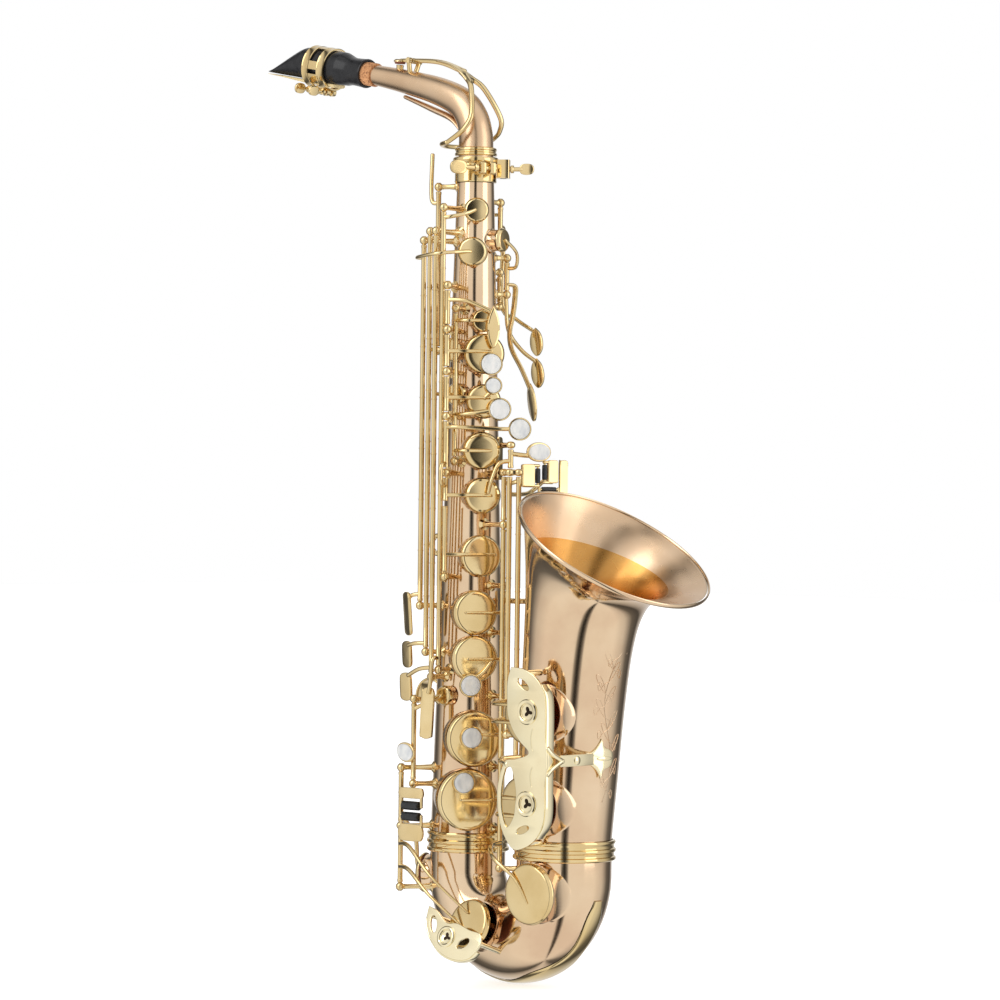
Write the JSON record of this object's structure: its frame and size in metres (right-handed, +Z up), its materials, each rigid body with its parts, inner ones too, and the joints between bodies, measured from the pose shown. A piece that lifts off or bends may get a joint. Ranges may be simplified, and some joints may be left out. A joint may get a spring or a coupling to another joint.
{
  "type": "saxophone",
  "caption": "Curved alto saxophone with full keywork: conical body, bow, flared bell, swivelling neck, mouthpiece, and separate sprung keys on their own hinge rods.",
  "frame": {"origin": "centre of the neck-strap ring's hole, behind the body tube", "axes": "+Z up along the body tube towards the neck, +X towards the bell (away from the player), +Y the player's left, -Y the player's right where most of the key cups face"},
  "size_m": [0.3922, 0.1428, 0.662],
  "materials": {
    "rose_lacquer": "lacquered rose brass, mirror polish",
    "gold_lacquer": "lacquered yellow brass, mirror polish",
    "roller_black": "polished black resin",
    "thumb_rest_black": "satin black resin",
    "ebonite": "polished hard rubber",
    "cane": "scraped cane",
    "pearl": "mother-of-pearl touch, polished",
    "pad_leather": "tan-brown kid leather pad",
    "felt": "black felt bumper",
    "adjuster_steel": "blued steel adjusting screw",
    "cork": "sanded cork"
  },
  "bodies": {
    "body": {"body_tube": "rose_lacquer", "bow": "rose_lacquer", "body_ferrule": "gold_lacquer", "bell_ferrule": "gold_lacquer", "bow_plate": "gold_lacquer", "bell": "rose_lacquer", "bell_rim": "rose_lacquer", "strap_ring": "gold_lacquer", "thumb_hook": "gold_lacquer", "thumb_rest": "thumb_rest_black", "body_to_bell_brace": "gold_lacquer", "neck_receiver": "gold_lacquer", "left_table_bracket": "gold_lacquer", "bell_key_guard": "gold_lacquer", "low_c_guard": "gold_lacquer"},
    "neck": {"neck_tube": "rose_lacquer", "neck_cork": "cork"},
    "mouthpiece": {"mouthpiece": "ebonite", "reed": "cane", "ligature": "gold_lacquer"},
    "ligature_screw_front": {"ligature_screw_front": "gold_lacquer"},
    "ligature_screw_rear": {"ligature_screw_rear": "gold_lacquer"},
    "neck_clamp_screw": {"neck_clamp_screw": "gold_lacquer"},
    "lyre_screw": {"lyre_screw": "gold_lacquer"},
    "neck_octave_key": {"neck_octave_key": "gold_lacquer"},
    "octave_thumb_key": {"octave_thumb_key": "gold_lacquer"},
    "front_f_key": {"front_f_key": "gold_lacquer"},
    "b_key": {"b_key": "gold_lacquer"},
    "bis_key": {"bis_key": "gold_lacquer"},
    "a_key": {"a_key": "gold_lacquer"},
    "g_key": {"g_key": "gold_lacquer"},
    "g_sharp_key": {"g_sharp_key": "gold_lacquer"},
    "f_sharp_key": {"f_sharp_key": "gold_lacquer"},
    "f_key": {"f_key": "gold_lacquer"},
    "e_key": {"e_key": "gold_lacquer"},
    "d_key": {"d_key": "gold_lacquer"},
    "high_e_key": {"high_e_key": "gold_lacquer"},
    "side_c_key": {"side_c_key": "gold_lacquer"},
    "side_b_flat_key": {"side_b_flat_key": "gold_lacquer"},
    "high_f_sharp_key": {"high_f_sharp_key": "gold_lacquer"},
    "alt_f_sharp_key": {"alt_f_sharp_key": "gold_lacquer"},
    "palm_d_key": {"palm_d_key": "gold_lacquer"},
    "palm_e_flat_key": {"palm_e_flat_key": "gold_lacquer"},
    "palm_f_key": {"palm_f_key": "gold_lacquer"},
    "g_sharp_lever": {"g_sharp_lever": "gold_lacquer"},
    "low_c_sharp_lever": {"low_c_sharp_lever": "gold_lacquer"},
    "low_c_sharp_key": {"low_c_sharp_key": "gold_lacquer"},
    "low_b_key": {"low_b_key": "gold_lacquer"},
    "low_b_flat_key": {"low_b_flat_key": "gold_lacquer"},
    "low_e_flat_key": {"low_e_flat_key": "gold_lacquer"},
    "low_c_key": {"low_c_key": "gold_lacquer"},
    "c_sharp_roller": {"c_sharp_roller": "roller_black"},
    "b_roller": {"b_roller": "roller_black"},
    "b_flat_roller": {"b_flat_roller": "roller_black"},
    "e_flat_roller": {"e_flat_roller": "roller_black"},
    "low_c_roller": {"low_c_roller": "roller_black"}
  },
  "joints": [
    {"name": "neck_swivel", "type": "hinge", "parent": "body", "child": "neck", "pos_m": [0.0315, 0, 0.26], "axis": [0, 0, 1], "range_deg": [-25, 25]},
    {"name": "mouthpiece_slide", "type": "slide", "parent": "neck", "child": "mouthpiece", "axis": [-0.9833, 0, 0.1822], "range_m": [-0.006, 0.01]},
    {"name": "ligature_screw_front_turn", "type": "hinge", "parent": "mouthpiece", "child": "ligature_screw_front", "pos_m": [-0.12676, 0, 0.32835], "axis": [0, 1, 0], "continuous": true},
    {"name": "ligature_screw_rear_turn", "type": "hinge", "parent": "mouthpiece", "child": "ligature_screw_rear", "pos_m": [-0.11299, 0, 0.3258], "axis": [0, 1, 0], "continuous": true},
    {"name": "neck_clamp_screw_turn", "type": "hinge", "parent": "body", "child": "neck_clamp_screw", "pos_m": [0.04849, -0.00756, 0.2625], "axis": [0.4067, 0.9135, 0], "continuous": true},
    {"name": "lyre_screw_turn", "type": "hinge", "parent": "body", "child": "lyre_screw", "pos_m": [0.05223, 0.01398, 0.263], "axis": [0.829, 0.5592, 0], "continuous": true},
    {"name": "neck_octave_key_hinge", "type": "hinge", "parent": "neck", "child": "neck_octave_key", "pos_m": [-0.029, 0, 0.3428], "axis": [0, 1, 0], "range_deg": [0, 3], "stiffness_Nm_per_rad": 0.05, "springref_deg": -11.46},
    {"name": "octave_thumb_key_hinge", "type": "hinge", "parent": "body", "child": "octave_thumb_key", "pos_m": [0.00703, -0.01141, 0.19], "axis": [0, 0, 1], "range_deg": [-8, 0], "stiffness_Nm_per_rad": 0.03, "springref_deg": 14.32},
    {"name": "front_f_key_hinge", "type": "hinge", "parent": "body", "child": "front_f_key", "pos_m": [0.03998, -0.03651, 0.165], "axis": [0, 0, 1], "range_deg": [0, 6], "stiffness_Nm_per_rad": 0.03, "springref_deg": -14.32},
    {"name": "b_key_hinge", "type": "hinge", "parent": "body", "child": "b_key", "pos_m": [0.03998, -0.03651, 0.135], "axis": [0, 0, 1], "range_deg": [0, 9], "stiffness_Nm_per_rad": 0.03, "springref_deg": -14.32},
    {"name": "bis_key_hinge", "type": "hinge", "parent": "body", "child": "bis_key", "pos_m": [0.03998, -0.03651, 0.105], "axis": [0, 0, 1], "range_deg": [0, 9], "stiffness_Nm_per_rad": 0.03, "springref_deg": -14.32},
    {"name": "a_key_hinge", "type": "hinge", "parent": "body", "child": "a_key", "pos_m": [0.04044, -0.02846, 0.11], "axis": [0, 0, 1], "range_deg": [0, 12], "stiffness_Nm_per_rad": 0.03, "springref_deg": -14.32},
    {"name": "g_key_hinge", "type": "hinge", "parent": "body", "child": "g_key", "pos_m": [0.03998, -0.03651, 0.065], "axis": [0, 0, 1], "range_deg": [0, 9], "stiffness_Nm_per_rad": 0.03, "springref_deg": -14.32},
    {"name": "g_sharp_key_hinge", "type": "hinge", "parent": "body", "child": "g_sharp_key", "pos_m": [0.03998, -0.03651, 0.005], "axis": [0, 0, 1], "range_deg": [-10, 0], "stiffness_Nm_per_rad": 0.03, "springref_deg": 14.32},
    {"name": "f_sharp_key_hinge", "type": "hinge", "parent": "body", "child": "f_sharp_key", "pos_m": [0.06509, -0.00318, -0.044], "axis": [0, 0, 1], "range_deg": [-12, 0], "stiffness_Nm_per_rad": 0.03, "springref_deg": 14.32},
    {"name": "f_key_hinge", "type": "hinge", "parent": "body", "child": "f_key", "pos_m": [0.06509, -0.00318, -0.082], "axis": [0, 0, 1], "range_deg": [-12, 0], "stiffness_Nm_per_rad": 0.03, "springref_deg": 14.32},
    {"name": "e_key_hinge", "type": "hinge", "parent": "body", "child": "e_key", "pos_m": [0.06509, -0.00318, -0.129], "axis": [0, 0, 1], "range_deg": [-12, 0], "stiffness_Nm_per_rad": 0.03, "springref_deg": 14.32},
    {"name": "d_key_hinge", "type": "hinge", "parent": "body", "child": "d_key", "pos_m": [0.06509, -0.00318, -0.175], "axis": [0, 0, 1], "range_deg": [-12, 0], "stiffness_Nm_per_rad": 0.03, "springref_deg": 14.32},
    {"name": "high_e_key_hinge", "type": "hinge", "parent": "body", "child": "high_e_key", "pos_m": [0.01389, -0.03311, 0.085], "axis": [0, 0, 1], "range_deg": [-10, 0], "stiffness_Nm_per_rad": 0.03, "springref_deg": 14.32},
    {"name": "side_c_key_hinge", "type": "hinge", "parent": "body", "child": "side_c_key", "pos_m": [0.02098, -0.03443, 0.072], "axis": [0, 0, 1], "range_deg": [-6, 0], "stiffness_Nm_per_rad": 0.03, "springref_deg": 14.32},
    {"name": "side_b_flat_key_hinge", "type": "hinge", "parent": "body", "child": "side_b_flat_key", "pos_m": [0.02774, -0.0358, 0.063], "axis": [0, 0, 1], "range_deg": [-8, 0], "stiffness_Nm_per_rad": 0.03, "springref_deg": 14.32},
    {"name": "high_f_sharp_key_hinge", "type": "hinge", "parent": "body", "child": "high_f_sharp_key", "pos_m": [0.03464, -0.03586, 0.074], "axis": [0, 0, 1], "range_deg": [-8, 0], "stiffness_Nm_per_rad": 0.03, "springref_deg": 14.32},
    {"name": "alt_f_sharp_key_hinge", "type": "hinge", "parent": "body", "child": "alt_f_sharp_key", "pos_m": [0.01225, -0.0362, -0.137], "axis": [0, 0, 1], "range_deg": [-6, 0], "stiffness_Nm_per_rad": 0.03, "springref_deg": 14.32},
    {"name": "palm_d_key_hinge", "type": "hinge", "parent": "body", "child": "palm_d_key", "pos_m": [0.04277, 0.02119, 0.189], "axis": [0, 0, 1], "range_deg": [0, 10], "stiffness_Nm_per_rad": 0.03, "springref_deg": -14.32},
    {"name": "palm_e_flat_key_hinge", "type": "hinge", "parent": "body", "child": "palm_e_flat_key", "pos_m": [0.03359, 0.02391, 0.18], "axis": [0, 0, 1], "range_deg": [-10, 0], "stiffness_Nm_per_rad": 0.03, "springref_deg": 14.32},
    {"name": "palm_f_key_hinge", "type": "hinge", "parent": "body", "child": "palm_f_key", "pos_m": [0.03359, 0.02391, 0.227], "axis": [0, 0, 1], "range_deg": [-10, 0], "stiffness_Nm_per_rad": 0.03, "springref_deg": 14.32},
    {"name": "g_sharp_lever_hinge", "type": "hinge", "parent": "body", "child": "g_sharp_lever", "pos_m": [0.0755, -0.009, 0.06], "axis": [0, 0, 1], "range_deg": [0, 10], "stiffness_Nm_per_rad": 0.03, "springref_deg": -14.32},
    {"name": "low_c_sharp_lever_hinge", "type": "hinge", "parent": "body", "child": "low_c_sharp_lever", "pos_m": [0.0785, -0.019, 0.033], "axis": [0, 0, 1], "range_deg": [0, 8], "stiffness_Nm_per_rad": 0.03, "springref_deg": -14.32},
    {"name": "low_c_sharp_key_hinge", "type": "hinge", "parent": "body", "child": "low_c_sharp_key", "pos_m": [0.0785, -0.019, -0.103], "axis": [0, 0, 1], "range_deg": [-8, 0], "stiffness_Nm_per_rad": 0.03, "springref_deg": 14.32},
    {"name": "low_b_key_hinge", "type": "hinge", "parent": "body", "child": "low_b_key", "pos_m": [0.0845, -0.02, -0.039], "axis": [0, 0, 1], "range_deg": [0, 8], "stiffness_Nm_per_rad": 0.03, "springref_deg": -14.32},
    {"name": "low_b_flat_key_hinge", "type": "hinge", "parent": "body", "child": "low_b_flat_key", "pos_m": [0.0895, -0.016, -0.07], "axis": [0, 0, 1], "range_deg": [0, 8], "stiffness_Nm_per_rad": 0.03, "springref_deg": -14.32},
    {"name": "low_e_flat_key_hinge", "type": "hinge", "parent": "body", "child": "low_e_flat_key", "pos_m": [0.0033, -0.0389, -0.175], "axis": [0, 0, 1], "range_deg": [0, 10], "stiffness_Nm_per_rad": 0.03, "springref_deg": -14.32},
    {"name": "low_c_key_hinge", "type": "hinge", "parent": "body", "child": "low_c_key", "pos_m": [0.0033, -0.0389, -0.216], "axis": [0, 0, 1], "range_deg": [0, 5], "stiffness_Nm_per_rad": 0.03, "springref_deg": -14.32},
    {"name": "c_sharp_roller_turn", "type": "hinge", "parent": "low_c_sharp_lever", "child": "c_sharp_roller", "pos_m": [0.08513, 0.00847, 0.049], "axis": [0, 0, 1], "continuous": true},
    {"name": "b_roller_turn", "type": "hinge", "parent": "low_b_key", "child": "b_roller", "pos_m": [0.08698, 0.01354, 0.0515], "axis": [0, 0, 1], "continuous": true},
    {"name": "b_flat_roller_turn", "type": "hinge", "parent": "low_b_flat_key", "child": "b_flat_roller", "pos_m": [0.08811, 0.01664, 0.0396], "axis": [0.342, 0.9397, 0], "continuous": true},
    {"name": "e_flat_roller_turn", "type": "hinge", "parent": "low_e_flat_key", "child": "e_flat_roller", "pos_m": [0.019, -0.045, -0.1804], "axis": [1, 0, 0], "continuous": true},
    {"name": "low_c_roller_turn", "type": "hinge", "parent": "low_c_key", "child": "low_c_roller", "pos_m": [0.019, -0.045, -0.188], "axis": [1, 0, 0], "continuous": true}
  ],
  "couplings": [
    {"joint": "g_sharp_key_hinge", "follows": "g_sharp_lever_hinge", "ratio": -1},
    {"joint": "low_c_sharp_key_hinge", "follows": "low_c_sharp_lever_hinge", "ratio": -1}
  ]
}
